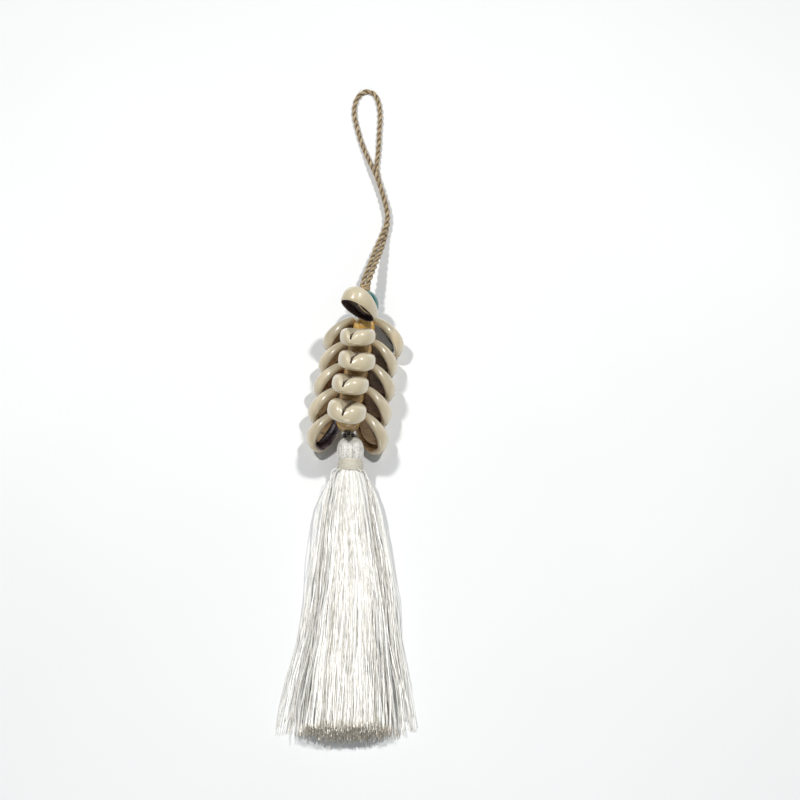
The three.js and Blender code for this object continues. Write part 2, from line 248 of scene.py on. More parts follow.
# rings, uvLength and the lengths of painted end shade are in mm
def joinTubes(name, ringSets, shades, uvLength=1, endShadeLengths=()):
    points, faces, uvs, shade, tip, base = [], [], [], [], [], 0
    unit = uvLength * mm
    for k, (rings, tone) in enumerate(zip(ringSets, shades)):
        rings = rings * mm
        count, sides = rings.shape[:2]
        middle = rings.mean(axis=1)
        points.append(np.vstack([rings.reshape(-1, 3), middle[:1], middle[-1:]]))
        index = base + np.arange(count * sides).reshape(count, sides)
        nearCap, farCap = base + count * sides, base + count * sides + 1
        steps = np.concatenate([[0], np.cumsum(np.linalg.norm(np.diff(middle, axis=0), axis=1))]) / unit
        following = np.roll(index, -1, axis=1)
        for i in range(count - 1):
            for j in range(sides):
                faces.append((index[i, j], following[i, j], following[i + 1, j], index[i + 1, j]))
                uvs += [(steps[i], j / sides), (steps[i], (j + 1) / sides),
                        (steps[i + 1], (j + 1) / sides), (steps[i + 1], j / sides)]
        for j in range(sides):
            faces.append((nearCap, following[0, j], index[0, j]))
            faces.append((farCap, index[-1, j], following[-1, j]))
            uvs += [(steps[0], 0)] * 3 + [(steps[-1], 0)] * 3
        tone = np.broadcast_to(tone, (count, sides)).ravel()
        shade.append(np.concatenate([tone, tone[:1], tone[-1:]]))
        if endShadeLengths:
            left = np.clip(1 - (steps[-1] - steps) * unit / (endShadeLengths[k] * mm), 0, 1)
            tip.append(np.concatenate([np.repeat(left, sides), left[:1], left[-1:]]))
        base += count * sides + 2
    obj = meshFrom(name, np.vstack(points), [tuple(int(n) for n in face) for face in faces])
    layer = obj.data.uv_layers.new(name="UVMap")
    layer.data.foreach_set("uv", np.array(uvs, np.float32).ravel())
    pointValues(obj, "shade", np.concatenate(shade))
    if endShadeLengths:
        pointValues(obj, "tip", np.concatenate(tip))
    return obj


# jute loop: its route repeats the one in the solids
jute = {"diameter": 2.0, "lay": 7.5, "ply": 0.7, "offset": 0.53, "step": 0.42, "sides": 8, "lowest": 0.03}
juteHairs = {
    "count": 230, "length": (1.2, 4.2), "lift": (0.1, 0.8), "swing": 0.5, "root": 0.95, "lowest": 0.06,
    "thick": (0.045, 0.02), "steps": 6, "sides": 3,
}
loopRoute = [
    (4.3, 101.8, 12.40), (4.8, 104.4, 12.00), (6.5, 111.1, 10.40), (8.4, 118.8, 8.00), (10.6, 127.1, 5.60),
    (12.5, 133.5, 4.10), (14.4, 139.8, 3.30), (15.0, 145.7, 3.20), (14.0, 152.1, 3.20), (12.4, 158.6, 3.20),
    (10.7, 164.8, 3.20), (8.8, 170.5, 3.20), (6.4, 177.0, 2.30), (4.2, 183.5, 1.40), (2.0, 190.8, 1.05),
    (0.3, 197.9, 1.05), (-1.0, 205.1, 1.05), (-0.7, 212.1, 1.05), (1.4, 217.3, 1.05), (4.8, 219.4, 1.05),
    (8.2, 217.9, 1.05), (10.4, 212.7, 1.05), (11.3, 204.2, 1.05), (10.9, 193.8, 1.05), (10.6, 183.8, 1.05),
    (9.9, 173.9, 1.05), (10.8, 167.0, 1.05), (12.4, 160.1, 1.05), (14.0, 153.6, 1.05), (15.0, 147.2, 1.05),
    (14.8, 141.0, 1.15), (14.0, 134.7, 2.00), (12.8, 128.0, 3.90), (10.7, 119.5, 6.90), (8.8, 111.5, 9.90),
    (7.1, 104.4, 12.00), (6.6, 101.8, 12.40),
]


def juteFinish(name, dark, middle, light):
    finish = Finish(name, Roughness=0.85)
    finish.shader.inputs["Sheen Weight"].default_value = 0.25
    strands = finish.noise(finish.uvPlace((0.9, 7, 1), 0.4), 3.0, 4, 0.7)
    blotches = finish.noise(finish.objectPlace(), 420, 2)
    fibres = finish.mix(0.3, strands, blotches)
    # painted shade: the shade value darkens the groove between the plies and the binding's inner winding
    tone = finish.mix(0.55, fibres, finish.value("shade"))
    finish.color(finish.ramp(tone, [(0.3, dark), (0.55, middle), (0.8, light)]))
    finish.bump(strands, 0.8, 0.0003)
    return finish.material


juteMaterial = juteFinish("jute", fromSrgb(60, 46, 30), fromSrgb(134, 112, 82), fromSrgb(192, 172, 136))
knotMaterial = juteFinish(
    "juteBinding", fromSrgb(66, 50, 34), fromSrgb(142, 116, 84), fromSrgb(196, 170, 130))

loopLine, loopAt = splineThrough(loopRoute, jute["step"])
tangents, across, up = carriedFrames(loopLine)
plies, plyShades = [], []
for ply in range(2):
    turn = 2 * math.pi * loopAt / jute["lay"] + math.pi * ply
    spine = twistedPly(loopLine, across, up, jute["offset"], turn)
    thick = jute["ply"] * (1 + 0.07 * np.sin(loopAt * 1.9 + ply) + 0.05 * np.sin(loopAt * 5.3 + 2 * ply))
    rings = tubeRings(spine, thick, jute["sides"])
    plies.append(rings)
    # painted shade: each ply is darker towards the cord's middle, so the groove between the plies reads dark
    out = np.linalg.norm(rings - loopLine[:, None], axis=2)
    plyShades.append(np.clip((out - 0.5) / 0.6, 0, 1) * (0.85 + 0.15 * ply))
for _ in range(juteHairs["count"]):
    start = dice.randrange(6, len(loopLine) - 16)
    out = dice.uniform(0, 2 * math.pi)
    length = dice.uniform(*juteHairs["length"])
    lift = dice.uniform(*juteHairs["lift"])
    t = np.linspace(0, 1, juteHairs["steps"])[:, None]
    outward = math.cos(out) * across[start] + math.sin(out) * up[start]
    way = tangents[start] * dice.choice((-1, 1))
    swing = np.cross(outward, way) * dice.uniform(-juteHairs["swing"], juteHairs["swing"])
    away = outward * (juteHairs["root"] + lift * t ** 1.6)
    hair = loopLine[start] + away + way * length * t + swing * t ** 2
    hair[:, 2] = np.maximum(hair[:, 2], juteHairs["lowest"])
    thick = np.linspace(*juteHairs["thick"], juteHairs["steps"])
    plies.append(tubeRings(hair, thick, juteHairs["sides"]))
    plyShades.append(dice.uniform(0.5, 1))
for rings in plies:
    rings[..., 2] = np.maximum(rings[..., 2], jute["lowest"])
cordLoop = joinTubes("cord_loop_jute", plies, plyShades, uvLength=2)
smoothShade(cordLoop, 60)
dress(cordLoop, "cord_loop_jute", juteMaterial, "jute", "cord_loop")

# binding at the foot of the loop: a flat strand wound round both legs, its end tucked across
binding = {
    "place": (5.3, 99.4, 12.7), "radius": 1.95, "strand": 0.62, "turns": 3.4, "from": -0.8, "to": 1.5,
    "start": 0.3, "flat": 0.75, "sides": 8,
}
bindingTuck = {
    "strand": 0.5, "flat": 0.7, "step": 0.4,
    "route": [(-2.1, -0.7, 1.0), (-1.2, 0.1, 2.1), (0.3, 0.9, 2.6), (1.7, 1.4, 1.9)],
}
bindingCore = {"radius": 1.35, "strand": 0.5, "turns": 3, "from": -1.0, "to": 1.7, "start": 1.0, "sides": 6}


def woundLine(radius, first, last, turns, start=0.0, per=26):
    count = round(per * turns)
    t = np.linspace(0, 1, count)
    angle = start + 2 * math.pi * turns * t
    return np.stack([radius * np.cos(angle), first + (last - first) * t, radius * np.sin(angle)], axis=1)


windings = []
bindingPlace = np.array(binding["place"])
for start in (binding["start"], binding["start"] + math.pi):
    line = woundLine(binding["radius"], binding["from"], binding["to"], binding["turns"] / 2, start)
    windings.append(tubeRings(line + bindingPlace, binding["strand"], binding["sides"], binding["flat"]))
tuck = splineThrough(np.array(bindingTuck["route"]) + bindingPlace, bindingTuck["step"])[0]
windings.append(tubeRings(tuck, bindingTuck["strand"], binding["sides"], bindingTuck["flat"]))
core = woundLine(*(bindingCore[key] for key in ("radius", "from", "to", "turns", "start")))
windings.append(tubeRings(core + bindingPlace, bindingCore["strand"], bindingCore["sides"]))
# painted shade: the inner winding, under the others, gets the darkest tone (0.4) so the gaps between
# windings read dark
knot = joinTubes("cord_knot_jute", windings, [0.9, 0.7, 1.0, 0.4], uvLength=2)
smoothShade(knot, 60)
dress(knot, "cord_knot_jute", knotMaterial, "jute", "cord_knot")

print("loop and binding:", round(float(loopAt[-1]), 1), "mm of jute")


# sliced cowries: a ring whose section is the wall is shaped for each, then placed
cowrie = {
    "length": 20.5, "width": 15.6, "top": 5.0, "slant": 4.2, "sawn": 1.2, "around": 144, "section": 56,
    "gather": 0.8, "skew": -0.15, "mouthFrom": 3.5, "mouthTo": 17.3, "mouthWidth": 0.6, "hollow": 0.72,
    "notch": 0.22, "notchWide": 1.9, "slotFloor": 0.64, "slotHalf": 0.34, "lip": 1.5, "lean": 0.55,
    "teeth": 1.3, "toothSize": 0.13, "egg": 0.1, "round": 0.9, "widestRow": 5, "lipRow": 17,
}
# out: 0 at the mouth, 1 at the outline; level: 0 at the sawn edge, 1 at the toothed face
wallSection = [
    (0.830, 0.000), (0.890, 0.018), (0.942, 0.075), (0.978, 0.165), (0.996, 0.280), (1.000, 0.400),
    (0.992, 0.550), (0.965, 0.690), (0.915, 0.810), (0.845, 0.895), (0.755, 0.955), (0.640, 0.988),
    (0.500, 1.000), (0.340, 1.000), (0.190, 0.975), (0.080, 0.925), (0.015, 0.850), (0.000, 0.760),
    (0.020, 0.660), (0.100, 0.625), (0.260, 0.655), (0.420, 0.680), (0.560, 0.650), (0.660, 0.580),
    (0.715, 0.480), (0.705, 0.360), (0.680, 0.250), (0.680, 0.150), (0.705, 0.065), (0.760, 0.012),
]
mouthLine = [(3.5, 0.9), (8, 0.2), (12.5, -0.9), (16, -1.5), (21, -1.5)]
rollTable = wallSection[cowrie["widestRow"]:13][::-1]


def smoothStep(value, low, high):
    t = np.clip((value - low) / (high - low), 0, 1)
    return t * t * (3 - 2 * t)


def wallSteps(count):
    closed = np.array(wallSection + wallSection[:1])
    along = np.concatenate([[0], np.cumsum(np.linalg.norm(np.diff(closed * (8, 7), axis=0), axis=1))])
    at = np.linspace(0, along[-1], count, endpoint=False)
    widest, lip = along[cowrie["widestRow"]], along[cowrie["lipRow"]]
    return np.interp(at, along, closed[:, 0]), np.interp(at, along, closed[:, 1]), at, widest, lip


def cowrieRing(scale, angle):
    half = cowrie["length"] / 2
    side = np.sign(np.sin(angle)) * np.abs(np.sin(angle)) ** cowrie["round"]
    across = cowrie["width"] / 2 * scale * (1 + cowrie["egg"] * np.cos(angle)) * side
    return half + half * scale * np.cos(angle), across


# how far out a point lies, 1 on the outline, found by halving
def outlineShare(x, y):
    u, v = np.abs(x / (cowrie["length"] / 2) - 1), np.abs(y) / (cowrie["width"] / 2)
    lean = np.sign(x - cowrie["length"] / 2)
    low, high = u.copy(), np.full(u.shape, 1.6)
    for _ in range(26):
        middle = (low + high) / 2
        cosine = np.clip(u / middle, 0, 1)
        far = middle * (1 + cowrie["egg"] * lean * cosine) * (1 - cosine ** 2) ** (cowrie["round"] / 2)
        low, high = np.where(far < v, middle, low), np.where(far < v, high, middle)
    return (low + high) / 2


def cowriePoints(rim=1.0, tilt=1.0, blunt=0.05, opened=1.0, push=0.0):
    form = cowrie
    out, level, at, widest, lip = wallSteps(form["section"])
    even = 2 * math.pi * np.arange(form["around"]) / form["around"]
    phase = even - form["gather"] * np.sin(even)
    phase, r = np.meshgrid(phase, out, indexing="ij")
    level, at = np.broadcast_to(level, r.shape), np.broadcast_to(at, r.shape)
    angle = phase + form["skew"] * tilt * (1 + np.cos(phase)) / 2
    upper, inner = (at > widest) & (at < lip), at >= lip
    mouthX, mouthY = np.array(mouthLine).T
    middleX, halfX = (form["mouthFrom"] + form["mouthTo"]) / 2, (form["mouthTo"] - form["mouthFrom"]) / 2
    slitX = middleX + halfX * np.cos(phase)
    slitY = np.interp(slitX, mouthX, mouthY * tilt) + form["mouthWidth"] / 2 * np.sin(phase)
    shareOut = np.where(upper, r, r / form["hollow"])
    edgeX, edgeY = cowrieRing(np.where(upper, 1.0, form["hollow"]), angle)
    ringX, ringY = cowrieRing(1 - (1 - r) * rim, angle)
    fromMouth = upper | (inner & (r < form["hollow"]) & (level > 0.5))
    x = np.where(fromMouth, slitX + (edgeX - slitX) * shareOut, ringX)
    y = np.where(fromMouth, slitY + (edgeY - slitY) * shareOut, ringY)
    share, rollOut, rollLevel = outlineShare(x, y), *np.array(rollTable).T
    tucked = share * (1 - blunt * smoothStep(x, 7, 17) * (1 - np.clip(share, 0, 1) ** 6))
    rolled = np.interp(tucked, rollOut, rollLevel)
    lipDrop = np.interp(r, rollOut, rollLevel) - level
    whole = np.where(upper, rolled - lipDrop, level)
    teeth = np.clip(1 - r / 0.3, 0, 1) * np.sin(2 * math.pi * x / form["teeth"])
    teeth = teeth * smoothStep(x, 3, 5) * (1 - smoothStep(x, 15.5, 17))
    y = y - np.sign(np.sin(phase)) * form["toothSize"] * teeth * np.clip(np.abs(np.sin(phase)) * 3, 0, 1)
    # the mouth runs out over the outer end: a broad notch, then a narrow slot between two rolled lobes
    away = np.abs(y - np.interp(x, mouthX, mouthY * tilt))
    notch = opened * form["notch"] * np.exp(-(away / form["notchWide"]) ** 2) * smoothStep(x, 1, 9)
    q = np.clip((away - form["slotHalf"]) / form["lip"], 0, 1)
    lobe = (1 - (1 - q) ** 2.5) ** 0.4
    cap = 1 - opened * smoothStep(x, 15.8, 17.6) * (1 - form["slotFloor"]) * (1 - lobe)
    height = np.where(inner, np.minimum(whole, cap - 0.15), np.minimum(whole, cap)) - notch * upper
    # the slot leans, so that one lobe's lip rolls over it
    lean = form["lean"] * tilt * np.clip((1 - height) / 0.55, 0, 1.3)
    y = y - lean * np.exp(-(away / 2.6) ** 2) * smoothStep(x, 15, 18)
    # the outer end bulges past its sawn edge
    x = x + push * smoothStep(x, 6, 18) * np.clip(1.8 * height, 0, 1)
    sawn = form["sawn"] - form["slant"] * x / form["length"]
    bow = 0.6 * (2 * x / form["length"] - 1) ** 2
    z = sawn + (form["top"] - bow - sawn) * height
    # slot: the slit where the lobes part and the hollow's roof near the mouth, which the finish paints
    # near-black as painted shade
    slot = np.clip((whole - cap) * 9, 0, 1) * np.clip(1.4 - q * 6, 0, 1) * upper
    slot = np.maximum(slot, inner & (r < 0.5) & (level > 0.5))
    return np.stack([x, y, z], axis=-1), height, inner, slot


def makePlainCowrie(row):
    clearSelection()
    bpy.ops.mesh.primitive_torus_add(
        major_segments=cowrie["around"], minor_segments=cowrie["section"], major_radius=2, minor_radius=1)
    shell = bpy.context.object
    points, height, inner, slot = cowriePoints(**row.get("form", {}))
    shell.data.vertices.foreach_set("co", points.reshape(-1, 3).astype(np.float32).ravel())
    pointValues(shell, "inside", inner.ravel())
    pointValues(shell, "level", height.ravel())
    pointValues(shell, "slot", slot.ravel())
    pointValues(shell, "leaf", np.zeros(inner.size))
    shell.data.update()
    return shell


# the inner whorl, a curled leaf that stands in the hollow, and leans over in the left shells
leafForm = {"along": 26, "across": 12, "from": 3.0, "to": 17.0, "thick": 0.5, "swell": 0.6}
leaningLeaf = {"foot": 5.1, "inward": 0.72, "low": 0.44, "rise": 0.3, "curl": 0.8}
standingLeaf = {"foot": 0.6, "reach": 4.2, "bend": 1.5, "low": 0.62, "rise": 0.5, "curl": 1.9}


def makeLeaf(leaning):
    clearSelection()
    bpy.ops.mesh.primitive_grid_add(
        x_subdivisions=leafForm["along"], y_subdivisions=leafForm["across"], size=2)
    leaf = bpy.context.object
    form = leaningLeaf if leaning else standingLeaf
    points = []
    for vertex in leaf.data.vertices:
        u, v = (vertex.co.x + 1) / 2, (vertex.co.y + 1) / 2
        x = leafForm["from"] + (leafForm["to"] - leafForm["from"]) * u
        swell = math.sin(math.pi * u) ** leafForm["swell"]
        sawn = cowrie["sawn"] - cowrie["slant"] * x / cowrie["length"]
        if leaning:
            y = form["foot"] * swell * (1 - form["inward"] * v)
            drop = form["low"] - form["rise"] * v ** form["curl"] * swell
        else:
            y = form["foot"] + swell * (form["reach"] * v - form["bend"] * v * v)
            drop = form["low"] - form["rise"] * swell * math.sin(form["curl"] * v)
        points.append((x, y, sawn + (cowrie["top"] - sawn) * drop))
    leaf.data.vertices.foreach_set("co", np.array(points, np.float32).ravel())
    solid = leaf.modifiers.new("thickness", "SOLIDIFY")
    solid.thickness, solid.offset = leafForm["thick"], 0
    pickOnly(leaf)
    bpy.ops.object.modifier_apply(modifier="thickness")
    count = len(leaf.data.vertices)
    pointValues(leaf, "inside", np.ones(count))
    pointValues(leaf, "level", np.full(count, 0.5))
    pointValues(leaf, "slot", np.zeros(count))
    pointValues(leaf, "leaf", np.ones(count))
    return leaf


def shellFinish(name, outer, shade, hollow, gleam, leaf):
    finish = Finish(name, Roughness=0.32, IOR=1.5)
    finish.shader.inputs["Coat Weight"].default_value = 1.0
    finish.shader.inputs["Coat Roughness"].default_value = 0.06
    clouds = finish.noise(finish.objectPlace(), 150, 3)
    body = finish.ramp(clouds, [(0.32, shade), (0.62, outer)])
    lip = finish.ramp(finish.value("level"), [(0.0, shade), (0.45, outer), (1.0, fromSrgb(219, 209, 186))])
    outside = finish.mix(0.55, body, lip)
    streaks = finish.noise(finish.objectPlace((1, 3, 1)), 330, 4, 0.65)
    inside = finish.ramp(streaks, [(0.36, hollow), (0.66, gleam)])
    leafTone = finish.ramp(streaks, [(0.3, hollow), (0.5, leaf)])
    deep = finish.mix(finish.value("leaf"), inside, leafTone)
    body = finish.mix(finish.value("inside"), outside, deep)
    # painted shade: the slot is coloured near-black
    finish.color(finish.mix(finish.value("slot"), body, fromSrgb(34, 22, 16)))
    finish.bump(clouds, 0.12, 0.0003)
    return finish.material


# around, droop, roll in degrees and reach in mm, as the shells are hung in the solids
tierFoot = [(5.2, 84.3), (4.4, 74.0), (2.8, 62.8), (1.3, 51.3), (-0.4, 39.8)]
stringHeight = 13.9
hungShells = [
    {"name": "shell_0_left", "around": 212, "droop": 31, "roll": -14, "reach": 2.8, "size": 0.94},
    {"name": "shell_0_right", "around": 322, "droop": 35, "roll": 10, "reach": 2.4, "size": 0.98},
    {"name": "shell_1_front", "around": 97, "droop": 32, "roll": -5, "reach": 2.6, "size": 0.96},
    {"name": "shell_1_left", "around": 212, "droop": 33, "roll": -8, "reach": 4.2, "size": 0.94},
    {"name": "shell_1_right", "around": 318, "droop": 38, "roll": 15, "reach": 2.2, "size": 0.93},
    {"name": "shell_2_front", "around": 91, "droop": 33, "roll": -8, "reach": 2.6, "size": 1.0},
    {"name": "shell_2_left", "around": 211, "droop": 33, "roll": -9, "reach": 3.7, "size": 0.97},
    {"name": "shell_2_right", "around": 320, "droop": 38, "roll": 15, "reach": 2.4, "size": 0.95},
    {"name": "shell_3_front", "around": 96, "droop": 32, "roll": -12, "reach": 2.6, "size": 0.98},
    {"name": "shell_3_left", "around": 211, "droop": 33, "roll": -8, "reach": 4.05, "size": 0.98},
    {"name": "shell_3_right", "around": 321, "droop": 39, "roll": 15, "reach": 2.4, "size": 0.95},
    {"name": "shell_4_front", "around": 94, "droop": 35, "roll": -15, "reach": 2.8, "size": 1.03,
     "form": {"tilt": 0.4}},
    {"name": "shell_4_left", "around": 213, "droop": 36, "roll": -8, "reach": 4.2, "size": 0.93},
    {"name": "shell_4_right", "around": 319, "droop": 40, "roll": 13, "reach": 3.0, "size": 0.97},
    {"name": "shell_0_front", "around": 123, "droop": -24, "roll": -24, "reach": 0, "size": 0.85,
     "depth": 1.28, "foot": (7.8, 77.0, 20.4),
     "form": {"rim": 0.4, "blunt": 0.4, "opened": 0.15, "push": 1.6}},
]
cream = fromSrgb(211, 199, 171)
creamShade = fromSrgb(196, 181, 148)
tan = fromSrgb(222, 209, 182)
tanShade = fromSrgb(204, 186, 151)
hollowTones = {  # dark of the hollow, its gleam, and the inner whorl
    "shell_0_front": ((20, 8, 12), (44, 26, 28), (158, 134, 96)),
    "shell_0_left": ((66, 42, 24), (104, 72, 44), (120, 86, 52)),
    # shell_0_right: all three tones pale grey to bluish white, a painted reflection in the hollow
    "shell_0_right": ((176, 176, 178), (236, 240, 250), (226, 230, 240)),
    "shell_1_left": ((124, 100, 70), (166, 142, 108), (150, 124, 88)),
    "shell_1_right": ((62, 48, 40), (120, 102, 86), (104, 84, 66)),
    "shell_2_left": ((80, 46, 22), (128, 86, 48), (112, 76, 44)),
    "shell_2_right": ((64, 50, 48), (128, 110, 100), (104, 84, 72)),
    "shell_3_left": ((92, 70, 46), (158, 132, 96), (170, 146, 112)),
    "shell_3_right": ((78, 56, 44), (134, 110, 88), (118, 92, 68)),
    # shell_4_left: its near-black tone is painted shade, the deep shade inside the hollow
    "shell_4_left": ((20, 12, 16), (104, 88, 94), (132, 106, 72)),
    "shell_4_right": ((102, 76, 48), (146, 116, 78), (134, 112, 84)),
}
hollowLift = 2.4  # the tones are as seen in the hollows' shade
brightest = 0.85
plainTones = ((92, 66, 40), (140, 112, 78), (140, 108, 70))


def litTone(color):
    seen = fromSrgb(*color)
    gain = min(hollowLift, brightest / max(seen))
    return tuple(gain * v for v in seen)


def hangMatrix(row):
    tier = int(row["name"].split("_")[1])
    foot = Vector(row.get("foot", (*tierFoot[tier], stringHeight)))
    turn, fall = math.radians(row["around"]), math.radians(row["droop"])
    outward, stringward = Vector((math.cos(turn), 0, math.sin(turn))), Vector((0, 1, 0))
    along = outward * math.cos(fall) - stringward * math.sin(fall)
    face = outward * math.sin(fall) + stringward * math.cos(fall)
    face.rotate(Matrix.Rotation(math.radians(row["roll"]), 3, along))
    across = face.cross(along)
    size, depth = row["size"], row.get("depth", 1)
    place = foot + along * row["reach"]
    turned = Matrix((along * size, across * size, face * size * depth)).transposed().to_4x4()
    return Matrix.Translation(place) @ turned


for row in hungShells:
    shell = makePlainCowrie(row)
    leaf = makeLeaf(row["name"].endswith("left"))
    clearSelection()
    leaf.select_set(True)
    shell.select_set(True)
    bpy.context.view_layer.objects.active = shell
    bpy.ops.object.join()
    bakePlace(shell, hangMatrix(row))
    for vertex in shell.data.vertices:
        vertex.co.z = max(vertex.co.z, 0.00001)
    faceOutward(shell)
    smoothShade(shell, 50)
    isFront = row["name"].endswith("front")
    tones = hollowTones.get(row["name"], plainTones)
    dark, gleam, leafColor = (litTone(color) for color in tones)
    outer, shade = (cream, creamShade) if isFront else (tan, tanShade)
    material = shellFinish(row["name"] + "_finish", outer, shade, dark, gleam, leafColor)
    slot = "cowrie_cream" if isFront else "cowrie_tan"
    dress(shell, row["name"] + "_fine", material, slot, row["name"])
print("shells:", len(hungShells))


# beads: a ball bored through, its lips rounded, turned to the thread
beadStyle = {"segments": 48, "rings": 32, "bore": 2.2, "lip": 0.28}


def boredBead(diameter):
    clearSelection()
    bpy.ops.mesh.primitive_uv_sphere_add(
        segments=beadStyle["segments"], ring_count=beadStyle["rings"], radius=diameter / 2)
    bead = bpy.context.object
    bpy.ops.object.mode_set(mode="EDIT")
    bpy.ops.mesh.select_all(action="DESELECT")
    bpy.ops.object.mode_set(mode="OBJECT")
    for vertex in bead.data.vertices:
        vertex.select = math.hypot(vertex.co.x, vertex.co.y) < beadStyle["bore"] / 2
    bpy.ops.object.mode_set(mode="EDIT")
    bpy.ops.mesh.delete(type="VERT")
    bpy.ops.mesh.select_all(action="SELECT")
    bpy.ops.mesh.region_to_loop()
    bpy.ops.mesh.bridge_edge_loops()
    bpy.ops.object.mode_set(mode="OBJECT")
    soft = bead.modifiers.new("lips", "BEVEL")
    soft.width, soft.segments = beadStyle["lip"], 3
    soft.limit_method, soft.angle_limit = "ANGLE", math.radians(50)
    pickOnly(bead)
    bpy.ops.object.modifier_apply(modifier="lips")
    faceOutward(bead)
    return bead


def woodFinish(name, dark, middle, light, roughness):
    finish = Finish(name, Roughness=roughness)
    finish.shader.inputs["Coat Weight"].default_value = 0.5
    finish.shader.inputs["Coat Roughness"].default_value = 0.12
    rings = finish.node("ShaderNodeTexWave", wave_type="RINGS", rings_direction="Y")
    rings.inputs["Scale"].default_value = 190
    rings.inputs["Distortion"].default_value = 2.5
    rings.inputs["Detail"].default_value = 2
    finish.join(finish.objectPlace((1, 0.25, 1)), rings.inputs["Vector"])
    pores = finish.noise(finish.objectPlace((1, 0.12, 1)), 1500, 3)
    tone = finish.mix(0.7, rings.outputs["Fac"], pores)
    finish.color(finish.ramp(tone, [(0.25, dark), (0.5, middle), (0.72, light)]))
    finish.bump(pores, 0.15, 0.0001)
    return finish.material


def glazeFinish(name, deep, bright, roughness):
    finish = Finish(name, Roughness=roughness)
    finish.shader.inputs["Coat Weight"].default_value = 0.8
    finish.shader.inputs["Coat Roughness"].default_value = 0.05
    finish.color(finish.ramp(finish.noise(finish.objectPlace(), 240, 3), [(0.35, deep), (0.65, bright)]))
    return finish.material


varnished = woodFinish(
    "varnishedWood", fromSrgb(168, 128, 74), fromSrgb(194, 156, 98), fromSrgb(214, 180, 122), roughness=0.38)
amber = woodFinish(
    "amberWood", fromSrgb(222, 164, 74), fromSrgb(238, 188, 100), fromSrgb(250, 210, 132), roughness=0.24)
teal = glazeFinish("tealGlaze", fromSrgb(8, 76, 74), fromSrgb(24, 116, 110), roughness=0.2)
darkGlass = glazeFinish("darkGlass", fromSrgb(14, 11, 12), fromSrgb(44, 38, 38), roughness=0.1)
beads = [
    {"node": "teal_bead", "diameter": 13, "at": (5.2, 91.5, 13.0), "finish": teal, "slot": "teal_glaze"},
    {"node": "amber_bead", "diameter": 9.3, "at": (5.2, 79.4, 13.9), "finish": amber, "slot": "amber_wood"},
] + [
    {"node": f"wood_bead_{i + 1}", "diameter": 10.1, "at": at, "finish": varnished, "slot": "varnished_wood"}
    for i, at in enumerate([(3.6, 68.5, 13.9), (2.0, 57.1, 13.9), (0.4, 45.7, 13.9), (-0.8, 34.3, 13.7)])
]
threadEnd = np.array((-0.8, 26.9, 12.9))
threadStops = [bindingPlace] + [np.array(row["at"], float) for row in beads] + [threadEnd]
for i, row in enumerate(beads):
    bead = boredBead(row["diameter"])
    way = Vector(threadStops[i + 2] - threadStops[i]).normalized()
    turned = Vector((0, 0, 1)).rotation_difference(way).to_matrix().to_4x4()
    bakePlace(bead, Matrix.Translation(row["at"]) @ turned)
    smoothShade(bead, 50)
    dress(bead, row["node"] + "_fine", row["finish"], row["slot"], row["node"])

seeds = {"at": (-0.5, 27.8, 12.9), "ring": 1.95, "count": 6, "major": 0.5, "minor": 0.32, "long": 1.5}
for i in range(seeds["count"]):
    angle = 2 * math.pi * (i + 0.5) / seeds["count"]
    clearSelection()
    bpy.ops.mesh.primitive_torus_add(
        major_segments=24, minor_segments=12, major_radius=seeds["major"], minor_radius=seeds["minor"])
    seed = bpy.context.object
    x = seeds["at"][0] + seeds["ring"] * math.cos(angle)
    z = seeds["at"][2] + seeds["ring"] * math.sin(angle)
    turned = Matrix.Rotation(math.radians(90), 4, "X") @ Matrix.Diagonal((1, 1, seeds["long"], 1))
    bakePlace(seed, Matrix.Translation((x, seeds["at"][1], z)) @ turned)
    smoothShade(seed, 60)
    dress(seed, f"seed_bead_{i + 1}_fine", darkGlass, "dark_glass", f"seed_bead_{i + 1}")
print("beads:", len(beads), "and", seeds["count"], "seeds")


# threads

cutEndShade = fromSrgb(226, 216, 203)  # threads' inner ends, greyed by painted shade


def threadFinish(name, shadow, body, bright, roughness, sheen, glint, dash=0.8):
    finish = Finish(name, Roughness=roughness)
    finish.shader.inputs["Sheen Weight"].default_value = sheen
    finish.shader.inputs["Specular IOR Level"].default_value = 0.8
    # the twist noise also goes into the colour as painted glints along the threads
    twistAndGlints = finish.noise(finish.objectPlace((1, dash, 1)), 1700, 2, 0.6)
    tone = finish.mix(glint, finish.value("shade"), twistAndGlints)
    thread = finish.ramp(tone, [(0.24, shadow), (0.46, body), (0.7, bright)])
    white = (1, 1, 1)
    # painted shade: the last stretch before each cut end is multiplied down to the greyed tone, back to
    # white at the very tip
    paintedEndShade = finish.ramp(
        finish.value("tip"), [(0, white), (0.35, white), (0.7, cutEndShade), (0.9, cutEndShade), (1, (1, 1, 0.96))])
    finish.color(finish.mix(1.0, thread, paintedEndShade, "MULTIPLY"))
    finish.bump(twistAndGlints, 0.8, 0.00025)
    finish.shader.inputs["Coat Weight"].default_value = 0.3
    finish.shader.inputs["Coat Roughness"].default_value = 0.3
    return finish.material


whiteThread = threadFinish(
    "whiteThread", fromSrgb(180, 174, 162), fromSrgb(250, 248, 241), fromSrgb(255, 255, 253),
    roughness=0.3, sheen=0.6, glint=0.62, dash=0.2)
headThread = threadFinish(
    "headThread", fromSrgb(140, 136, 126), fromSrgb(222, 219, 211), fromSrgb(252, 251, 247),
    roughness=0.3, sheen=0.4, glint=0.85)
creamThread = threadFinish(
    "creamThread", fromSrgb(166, 158, 140), fromSrgb(203, 196, 179), fromSrgb(221, 215, 199),
    roughness=0.45, sheen=0.2, glint=0.55)

